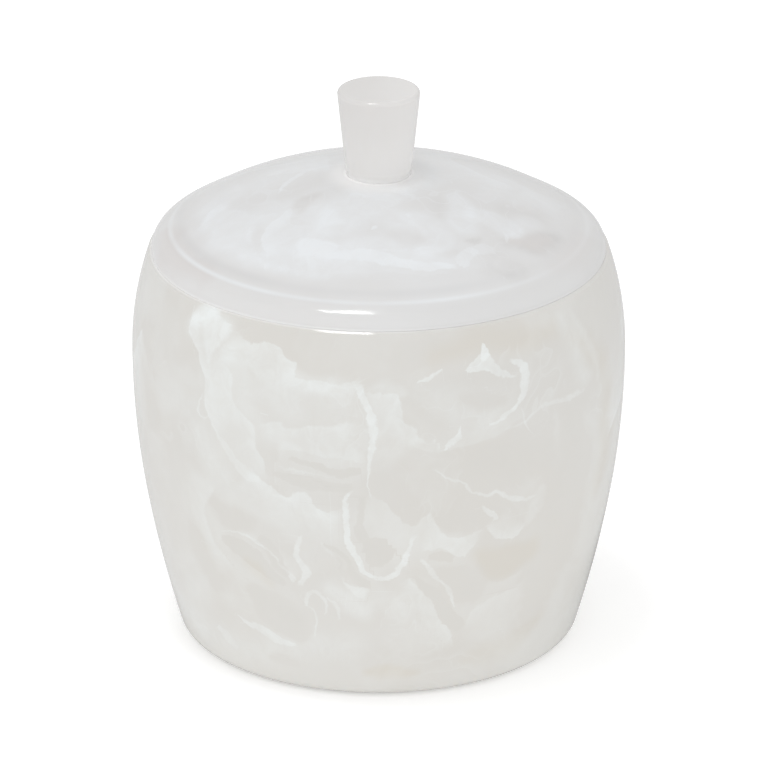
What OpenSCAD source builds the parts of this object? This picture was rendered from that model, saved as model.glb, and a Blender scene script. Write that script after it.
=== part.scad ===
// Lidded powder jar in cast swirled resin.
// A barrel-shaped jar, a domed lid with a locating spigot under it, and a plain
// tapered knob that a short dowel locates on the lid. Four clear pads carry the jar.
// The frame is +Z up, with the origin on the axis, in the plane of the pads' undersides.

/* [Jar] */
// Largest diameter of the jar, at its belly
jar_d = 108; // [104:0.5:115]
// Height of the jar without its pads, up to the rim
jar_h = 87.8; // [84:0.1:92]
// Height of the widest point above the jar's underside
belly_h = 65.2; // [56:0.1:68]
// Radius of the outline's arc just below the widest point
belly_arc_r = 189; // [150:1:240]
// How far that arc runs down from the widest point, in degrees
belly_arc_deg = 10; // [6:0.5:12]
// Radius of the outline's arc along the lower wall
flank_arc_r = 270; // [200:1:350]
// Radius of the outline's arc from the widest point up to the rim
shoulder_arc_r = 68; // [55:1:90]
// Rounding round the underside
base_edge_r = 3.4; // [1:0.1:6]
// Roundings on either side of the rim's bevel
lip_r = 0.5; // [0.3:0.1:2]
// Width of the polished bevel round the rim's outer edge
lip_bevel = 0.5; // [0:0.05:0.8]
// Thickness of the cast wall
wall = 7; // [5:0.25:9]
// Thickness of the floor
floor_t = 9; // [6:0.25:12]
// Diameter of the mouth
mouth_d = 84; // [76:0.5:88]
// Depth of the straight stretch of the mouth
mouth_depth = 8; // [7:0.5:12]
// Rounding where the cavity's floor meets its wall
cavity_edge_r = 6; // [3:0.5:10]

/* [Lid] */
// Diameter of the lid
lid_d = 99.2; // [97:0.1:100]
// Height of the crown above the rim
lid_rise = 17.63; // [15:0.05:20]
// Rounding round the lid's edge
lid_edge_r = 4.27; // [3:0.05:6]
// Radius at which a shallow valley parts the dome from the edge band
valley_at = 44.8; // [43:0.1:45.5]
// Depth of that valley
valley_depth = 0.16; // [0:0.02:0.4]
// Thickness of the lid's crown
lid_t = 8; // [7:0.25:10]
// Radial play of the spigot in the mouth
spigot_play = 0.5; // [0.3:0.05:1]
// Depth of the spigot below the rim
spigot_depth = 6; // [4:0.25:6.5]
// Thickness of the spigot's wall
spigot_t = 5; // [3:0.25:7]

/* [Knob] */
// Diameter of the knob where it stands on the lid
knob_base_d = 14.24; // [12:0.02:16]
// Diameter of the knob at its top
knob_top_d = 18.16; // [16:0.02:20]
// Height of the knob above its seat
knob_h = 19.3; // [15:0.1:24]
// Rounding round the knob's top
knob_edge_r = 0.9; // [0.4:0.1:2]
// Diameter of the dowel that locates the knob
dowel_d = 6; // [4:0.5:7]
// Length of the dowel inside the lid
dowel_in_lid = 5; // [3:0.5:5.5]
// Length of the dowel inside the knob
dowel_in_knob = 8; // [4:0.5:12]
// Radial glue gap round the dowel
glue_gap = 0.05; // [0.02:0.01:0.1]

/* [Pads] */
// Thickness of the clear pads
pad_h = 0.4; // [0.3:0.1:2]
// Diameter of the pads
pad_d = 10; // [8:0.5:12]
// Radius of the circle that the pads' centres lie on
pad_at = 33; // [30:0.5:34]

/* [Hidden] */
$fn = 96;

jar_r = jar_d / 2;
lid_r = lid_d / 2;
mouth_r = mouth_d / 2;
rim_z = pad_h + jar_h;

// Centres of the outline's arcs, as [radius, height above the jar's underside]
belly_c = [jar_r - belly_arc_r, belly_h];
flank_c = belly_c + (belly_arc_r - flank_arc_r) * [cos(belly_arc_deg), -sin(belly_arc_deg)];
shoulder_c = [jar_r - shoulder_arc_r, belly_h];

// The straight mouth meets the cavity's upper wall in one arc, tangent at the belly
neck_z = jar_h - mouth_depth;
neck_in = jar_r - wall - mouth_r;
neck_up = neck_z - belly_h;
neck_arc_r = (neck_in * neck_in + neck_up * neck_up) / (2 * neck_in);
neck_c = [jar_r - wall - neck_arc_r, belly_h];
mouth_edge_r = 1;
lip_bevel_deg = 55;

// Dome over the lid: a sphere through the crown, tangent to the edge rounding
edge_c_r = lid_r - lid_edge_r;
dome_r = (edge_c_r * edge_c_r + lid_rise * lid_rise - lid_edge_r * lid_edge_r)
       / (2 * (lid_rise - lid_edge_r));
dome_c = lid_rise - dome_r;
dome_edge_deg = atan2(-dome_c, edge_c_r);
dome_end = dome_r * cos(dome_edge_deg);
valley_in = 3.2;
valley_out = 1.2;

// Underside of the lid
spigot_r = mouth_r - spigot_play;
hollow_r = spigot_r - spigot_t;
spigot_lead = 1.5;
ceiling_r = dome_r - lid_t;
ceiling_edge_r = 3;
seat_r = knob_base_d / 2;
seat_z = dome_z(seat_r);
dowel_r = dowel_d / 2;

// Height of the lid's sphere above the rim, at a radius from the axis
function dome_z(r) = dome_c + sqrt(dome_r * dome_r - r * r);

// Depth of the valley, which rises gently inwards and more quickly outwards
function valley_z(r) =
    let (w = r < valley_at ? valley_in : valley_out)
    valley_depth * exp(-pow((r - valley_at) / w, 2));

// Points along an arc about c, from angle a to angle b, in n steps
function arc(c, r, a, b, n) =
    [for (i = [0 : n]) let (t = a + (b - a) * i / n) c + r * [cos(t), sin(t)]];

// Angle and centre of a rounding that lies inside a big arc, at a given height
function tuck_deg(c, r, edge_r, z) = asin((z - c.y) / (r - edge_r));
function tuck_c(c, r, edge_r, z) = [c.x + (r - edge_r) * cos(tuck_deg(c, r, edge_r, z)), z];

// Barrel outline, from the underside's edge up to the rim's top
function jar_outside() = let (
    foot_deg = tuck_deg(flank_c, flank_arc_r, base_edge_r, base_edge_r),
    lip_z = jar_h - lip_r - lip_bevel * cos(lip_bevel_deg),
    lip_deg = tuck_deg(shoulder_c, shoulder_arc_r, lip_r, lip_z),
    lip_c = tuck_c(shoulder_c, shoulder_arc_r, lip_r, lip_z),
    bevel = lip_bevel * [-sin(lip_bevel_deg), cos(lip_bevel_deg)]
) concat(
    arc(tuck_c(flank_c, flank_arc_r, base_edge_r, base_edge_r), base_edge_r, -90, foot_deg, 6),
    arc(flank_c, flank_arc_r, foot_deg, -belly_arc_deg, 6),
    arc(belly_c, belly_arc_r, -belly_arc_deg, 0, 6),
    arc(shoulder_c, shoulder_arc_r, 0, lip_deg, 7),
    arc(lip_c, lip_r, lip_deg, lip_bevel_deg, 3),
    arc(lip_c + bevel, lip_r, lip_bevel_deg, 90, 3)
);

// Cavity outline, from the mouth's edge down to the floor
function jar_inside() = let (
    low_z = floor_t + cavity_edge_r,
    low_deg = tuck_deg(flank_c, flank_arc_r - wall, cavity_edge_r, low_z)
) concat(
    arc([mouth_r + mouth_edge_r, jar_h - mouth_edge_r], mouth_edge_r, 90, 180, 3),
    arc(neck_c, neck_arc_r, asin(neck_up / neck_arc_r), 0, 6),
    arc(belly_c, belly_arc_r - wall, 0, -belly_arc_deg, 5),
    arc(flank_c, flank_arc_r - wall, -belly_arc_deg, low_deg, 5),
    arc(tuck_c(flank_c, flank_arc_r - wall, cavity_edge_r, low_z), cavity_edge_r, low_deg, -90, 5)
);

// Lid outline above the rim, from the knob's seat out to the edge
function lid_top() = concat(
    [for (r = [seat_r : (dome_end - seat_r) / 32 : dome_end - 0.01]) [r, dome_z(r) - valley_z(r)]],
    arc([edge_c_r, 0], lid_edge_r, dome_edge_deg, 0, 6)
);

// Lid outline below the rim, from the seat face in to the hollow's ceiling
function lid_under() = let (
    corner_r = hollow_r - ceiling_edge_r,
    corner_z = dome_c + sqrt(pow(ceiling_r - ceiling_edge_r, 2) - corner_r * corner_r),
    corner_deg = atan2(corner_z - dome_c, corner_r)
) concat(
    [[spigot_r, 0], [spigot_r, spigot_lead - spigot_depth]],
    [[spigot_r - spigot_lead, -spigot_depth], [hollow_r, -spigot_depth]],
    arc([corner_r, corner_z], ceiling_edge_r, 0, corner_deg, 4),
    arc([0, dome_c], ceiling_r, corner_deg, 90, 10)
);

module turned(points) {
    rotate_extrude() polygon(points);
}

// Blind hole or rod on the axis, from one height up to another
module rod(r, from, to) {
    translate([0, 0, from]) cylinder(r = r, h = to - from);
}

module jar_body() {
    color("#dedcd8") translate([0, 0, pad_h])
        turned(concat([[0, 0]], jar_outside(), jar_inside(), [[0, floor_t]]));
}

module lid() {
    color("#e2e3e4") translate([0, 0, rim_z]) difference() {
        turned(concat([[0, seat_z]], lid_top(), lid_under()));
        rod(dowel_r + glue_gap, seat_z - dowel_in_lid, seat_z + 1);
    }
}

module knob() {
    taper_deg = atan2((knob_top_d - knob_base_d) / 2, knob_h);
    edge_c = [knob_top_d / 2 - knob_edge_r * (1 + sin(taper_deg)), knob_h - knob_edge_r];
    color("#dddbd9") translate([0, 0, rim_z + seat_z]) difference() {
        turned(concat(
            [[0, 0], [seat_r, 0]],
            arc(edge_c, knob_edge_r, -taper_deg, 90, 6),
            [[0, knob_h]]
        ));
        rod(dowel_r + glue_gap, -1, dowel_in_knob);
    }
}

module knob_dowel() {
    color("#e6e8ea") translate([0, 0, rim_z + seat_z])
        rod(dowel_r, -dowel_in_lid, dowel_in_knob);
}

module base_pads() {
    pad_edge_r = 0.15;
    color("#eef1f2") for (a = [45 : 90 : 315])
        rotate([0, 0, a]) translate([pad_at, 0, 0]) turned(concat(
            [[0, 0]],
            arc([pad_d / 2 - pad_edge_r, pad_edge_r], pad_edge_r, -90, 0, 3),
            [[pad_d / 2, pad_h], [0, pad_h]]
        ));
}

jar_body();
lid();
knob();
knob_dowel();
base_pads();
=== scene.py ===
"""Lidded powder jar in swirled cast resin: its looks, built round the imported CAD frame."""

import math
import random
from collections import namedtuple

import bpy
import numpy as np
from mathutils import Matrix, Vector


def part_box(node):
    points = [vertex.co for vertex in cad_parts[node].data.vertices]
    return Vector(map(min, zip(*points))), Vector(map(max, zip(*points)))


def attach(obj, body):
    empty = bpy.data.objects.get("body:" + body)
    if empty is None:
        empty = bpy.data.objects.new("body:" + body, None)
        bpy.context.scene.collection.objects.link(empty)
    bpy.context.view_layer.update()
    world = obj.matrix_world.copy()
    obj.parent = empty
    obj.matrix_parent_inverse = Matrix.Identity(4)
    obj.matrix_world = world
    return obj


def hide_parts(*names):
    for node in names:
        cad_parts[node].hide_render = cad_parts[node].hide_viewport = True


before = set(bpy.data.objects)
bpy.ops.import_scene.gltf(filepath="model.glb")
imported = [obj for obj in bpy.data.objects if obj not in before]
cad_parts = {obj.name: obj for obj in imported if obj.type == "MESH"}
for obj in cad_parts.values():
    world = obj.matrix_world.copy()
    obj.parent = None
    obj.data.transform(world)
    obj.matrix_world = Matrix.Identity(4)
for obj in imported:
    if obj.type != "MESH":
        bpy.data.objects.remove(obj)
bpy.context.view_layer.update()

MM = 0.001
TINY = 1e-7  # metres: nearer than this, two points are one
ROUND_STEPS = 360  # quads round the jar and the lid
KNOB_STEPS = 160  # quads round the knob

# Heights come from the frame; radii are the CAD model's own driving sizes.
STAND_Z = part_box("jar_body")[0].z
RIM_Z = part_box("jar_body")[1].z
SEAT_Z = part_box("knob")[0].z
KNOB_TOP_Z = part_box("knob")[1].z

JAR_R = 54 * MM
BELLY_Z = STAND_Z + 65.2 * MM
BELLY_ARC_R = 189 * MM
BELLY_ARC = math.radians(10)
FLANK_ARC_R = 270 * MM
SHOULDER_ARC_R = 68 * MM
BASE_EDGE_R = 3.4 * MM
LIP_R = 0.5 * MM
LIP_BEVEL = 0.5 * MM
LIP_BEVEL_ANGLE = math.radians(55)
WALL = 7 * MM
FLOOR_T = 9 * MM
MOUTH_R = 42 * MM
MOUTH_DEPTH = 8 * MM
MOUTH_EDGE_R = 1 * MM
CAVITY_EDGE_R = 6 * MM

LID_R = 49.6 * MM
LID_RISE = 17.63 * MM
LID_EDGE_R = 4.27 * MM
VALLEY_AT = 44.8 * MM
VALLEY_DEPTH = 0.16 * MM
VALLEY_IN = 3.2 * MM
VALLEY_OUT = 1.2 * MM
LID_T = 8 * MM
SPIGOT_R = 41.5 * MM
SPIGOT_DEPTH = 6 * MM
SPIGOT_LEAD = 1.5 * MM
HOLLOW_R = 36.5 * MM
CEILING_EDGE_R = 3 * MM

KNOB_BASE_R = 7.12 * MM
KNOB_TOP_R = 9.08 * MM
KNOB_EDGE_R = 0.9 * MM
DOWEL_HOLE_R = 3.05 * MM

# The camera's place, tilt and lens were fitted to the object's outline in the photograph.
CAMERA_AT = (1.15 * MM, -1.6828, 0.7464)
CAMERA_PITCH = math.radians(22.31)
LENS_MM = 388.4

# -------------------- camera

def make_camera():
    """A long lens well back and above, looking down on the jar."""
    lens = bpy.data.cameras.new("camera")
    lens.sensor_width = 36
    lens.lens = LENS_MM
    lens.clip_start = 0.1
    lens.clip_end = 20
    camera = bpy.data.objects.new("camera", lens)
    camera.location = CAMERA_AT
    camera.rotation_euler = (math.pi / 2 - CAMERA_PITCH, 0, 0)
    bpy.context.scene.collection.objects.link(camera)
    bpy.context.scene.camera = camera


# -------------------- turned meshes

def arc(centre, radius, start, end, chord=0.45 * MM):
    """Points along an arc, as (radius, height), close enough together for a smooth mesh."""
    steps = min(max(6, math.ceil(abs(end - start) * radius / chord)), 160)
    return [
        (
            centre[0] + radius * math.cos(start + (end - start) * i / steps),
            centre[1] + radius * math.sin(start + (end - start) * i / steps),
        )
        for i in range(steps + 1)
    ]


def tucked(centre, radius, edge_r, z):
    """Angle and centre of a rounding inside a big arc, whose own centre is at height z."""
    angle = math.asin((z - centre[1]) / (radius - edge_r))
    return angle, (centre[0] + (radius - edge_r) * math.cos(angle), z)


def evened(outline, longest=2 * MM):
    """The outline with its long straight stretches split, and repeated points dropped."""
    out = [outline[0]]
    for a, b in zip(outline, outline[1:]):
        length = math.dist(a, b)
        if length < TINY:
            continue
        parts = max(1, math.ceil(length / longest))
        for i in range(1, parts + 1):
            out.append((a[0] + (b[0] - a[0]) * i / parts, a[1] + (b[1] - a[1]) * i / parts))
    return out


def turned(name, outline, steps=ROUND_STEPS):
    """A closed solid turned about a vertical axis, from an outline that starts and ends on it."""
    outline = evened(outline)
    verts, rings = [], []
    for r, z in outline:
        if r < TINY:
            rings.append([len(verts)])
            verts.append((0, 0, z))
            continue
        rings.append(range(len(verts), len(verts) + steps))
        for i in range(steps):
            a = 2 * math.pi * i / steps
            verts.append((r * math.cos(a), r * math.sin(a), z))
    faces = []
    for low, high in zip(rings, rings[1:]):
        for i in range(steps):
            j = (i + 1) % steps
            if len(low) == 1:
                faces.append((low[0], high[j], high[i]))
            elif len(high) == 1:
                faces.append((low[i], low[j], high[0]))
            else:
                faces.append((low[i], low[j], high[j], high[i]))
    mesh = bpy.data.meshes.new(name)
    mesh.from_pydata(verts, [], faces)
    mesh.shade_smooth()
    mesh.update()
    piece = bpy.data.objects.new(name, mesh)
    bpy.context.scene.collection.objects.link(piece)
    return piece


def barrel_arcs():
    """Centres of the barrel's lower, middle and upper arcs, as (radius, height)."""
    belly = (JAR_R - BELLY_ARC_R, BELLY_Z)
    back = BELLY_ARC_R - FLANK_ARC_R
    flank = (belly[0] + back * math.cos(BELLY_ARC), belly[1] - back * math.sin(BELLY_ARC))
    shoulder = (JAR_R - SHOULDER_ARC_R, BELLY_Z)
    return flank, belly, shoulder


def jar_outline():
    """Round the jar from the middle of its underside, up the outside and down the cavity."""
    flank, belly, shoulder = barrel_arcs()
    foot, foot_c = tucked(flank, FLANK_ARC_R, BASE_EDGE_R, STAND_Z + BASE_EDGE_R)
    tilt = LIP_BEVEL_ANGLE
    lip, lip_c = tucked(shoulder, SHOULDER_ARC_R, LIP_R, RIM_Z - LIP_R - LIP_BEVEL * math.cos(tilt))
    top_c = (lip_c[0] - LIP_BEVEL * math.sin(tilt), lip_c[1] + LIP_BEVEL * math.cos(tilt))
    outside = (
        arc(foot_c, BASE_EDGE_R, -math.pi / 2, foot)
        + arc(flank, FLANK_ARC_R, foot, -BELLY_ARC, 0.9 * MM)
        + arc(belly, BELLY_ARC_R, -BELLY_ARC, 0, 0.9 * MM)
        + arc(shoulder, SHOULDER_ARC_R, 0, lip, 0.8 * MM)
        + arc(lip_c, LIP_R, lip, tilt, 0.06 * MM)
        + arc(top_c, LIP_R, tilt, math.pi / 2, 0.06 * MM)
    )
    neck_in = JAR_R - WALL - MOUTH_R
    neck_up = RIM_Z - MOUTH_DEPTH - BELLY_Z
    neck_r = (neck_in**2 + neck_up**2) / (2 * neck_in)
    neck = (JAR_R - WALL - neck_r, BELLY_Z)
    low, low_c = tucked(flank, FLANK_ARC_R - WALL, CAVITY_EDGE_R, STAND_Z + FLOOR_T + CAVITY_EDGE_R)
    mouth_edge = (MOUTH_R + MOUTH_EDGE_R, RIM_Z - MOUTH_EDGE_R)
    inside = (
        arc(mouth_edge, MOUTH_EDGE_R, math.pi / 2, math.pi, 0.15 * MM)
        + arc(neck, neck_r, math.asin(neck_up / neck_r), 0, 1.4 * MM)
        + arc(belly, BELLY_ARC_R - WALL, 0, -BELLY_ARC, 1.4 * MM)
        + arc(flank, FLANK_ARC_R - WALL, -BELLY_ARC, low, 1.4 * MM)
        + arc(low_c, CAVITY_EDGE_R, low, -math.pi / 2)
    )
    return [(0, STAND_Z)] + outside + inside + [(0, STAND_Z + FLOOR_T)]


def lid_outline():
    """Round the lid from the top of its hollow, out under the spigot and back over the dome."""
    edge_c = (LID_R - LID_EDGE_R, RIM_Z)
    dome_r = (edge_c[0] ** 2 + LID_RISE**2 - LID_EDGE_R**2) / (2 * (LID_RISE - LID_EDGE_R))
    dome_z = RIM_Z + LID_RISE - dome_r
    tangent = math.atan2(RIM_Z - dome_z, edge_c[0])
    dome_end = dome_r * math.cos(tangent)

    def crown(r):
        width = VALLEY_IN if r < VALLEY_AT else VALLEY_OUT
        valley = VALLEY_DEPTH * math.exp(-(((r - VALLEY_AT) / width) ** 2))
        return (r, dome_z + math.sqrt(dome_r**2 - r**2) - valley)

    under_edge = 0.05 * MM  # a trace of rounding on the sharp lower edge
    spigot_edge = 0.4 * MM
    spans = 60
    top = [crown(KNOB_BASE_R + (dome_end - KNOB_BASE_R) * i / spans) for i in range(spans)]
    edge = arc(edge_c, LID_EDGE_R, tangent, 0.03, 0.25 * MM)
    edge += arc((LID_R - under_edge, RIM_Z + under_edge), under_edge, 0, -math.pi / 2, 0.03 * MM)
    ceiling_r = dome_r - LID_T
    corner_r = HOLLOW_R - CEILING_EDGE_R
    corner_z = dome_z + math.sqrt((ceiling_r - CEILING_EDGE_R) ** 2 - corner_r**2)
    corner = math.atan2(corner_z - dome_z, corner_r)
    foot_z = RIM_Z - SPIGOT_DEPTH
    under = [
        (SPIGOT_R, RIM_Z),
        (SPIGOT_R, foot_z + SPIGOT_LEAD),
        (SPIGOT_R - SPIGOT_LEAD, foot_z),
        (HOLLOW_R + spigot_edge, foot_z),
        (HOLLOW_R, foot_z + spigot_edge),
    ]
    ceiling = arc((corner_r, corner_z), CEILING_EDGE_R, 0, corner)
    ceiling += arc((0, dome_z), ceiling_r, corner, math.pi / 2, 1 * MM)
    hole_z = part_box("knob_dowel")[0].z
    hole = [(0, hole_z), (DOWEL_HOLE_R, hole_z), (DOWEL_HOLE_R, SEAT_Z)]
    # Turned round, so that the faces look outwards.
    return list(reversed(hole + top + edge + under + ceiling))


def knob_outline():
    """Round the knob from the top of its dowel hole, out over the seat and up the outside."""
    taper = math.atan2(KNOB_TOP_R - KNOB_BASE_R, KNOB_TOP_Z - SEAT_Z)
    edge_c = (KNOB_TOP_R - KNOB_EDGE_R * (1 + math.sin(taper)), KNOB_TOP_Z - KNOB_EDGE_R)
    hole_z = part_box("knob_dowel")[1].z
    return (
        [(0, hole_z), (DOWEL_HOLE_R, hole_z), (DOWEL_HOLE_R, SEAT_Z), (KNOB_BASE_R, SEAT_Z)]
        + arc(edge_c, KNOB_EDGE_R, -taper, math.pi / 2, 0.08 * MM)
        + [(0, KNOB_TOP_Z)]
    )


# -------------------- pigment veils

# White pigment hangs in the clear resin as veils. A sheet is crisp along its line and fades away to
# the right of it; a ribbon lies along its line and is crisp on both sides. Lines are on the jar as
# (degrees round from the front, mm up) and on the lid as (mm right, mm back). Fade, width and edge
# are in mm.
Veil = namedtuple("Veil", "points strength fade width edge")
NO_FADE = 99
BOUNDLESS = 60  # half the width of a sheet, whose far side is never reached


def sheet(strength, fade, points, edge=0.5):
    return Veil(points, strength, fade, [BOUNDLESS], edge)


def ribbon(strength, width, points, edge=0.4):
    """A ribbon whose half width runs through the given values from end to end."""
    return Veil(points, strength, NO_FADE, width, edge)


def clearing(strength, width, points, edge=0.4):
    """A ribbon that takes pigment away."""
    return ribbon(-strength, width, points, edge)


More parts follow.
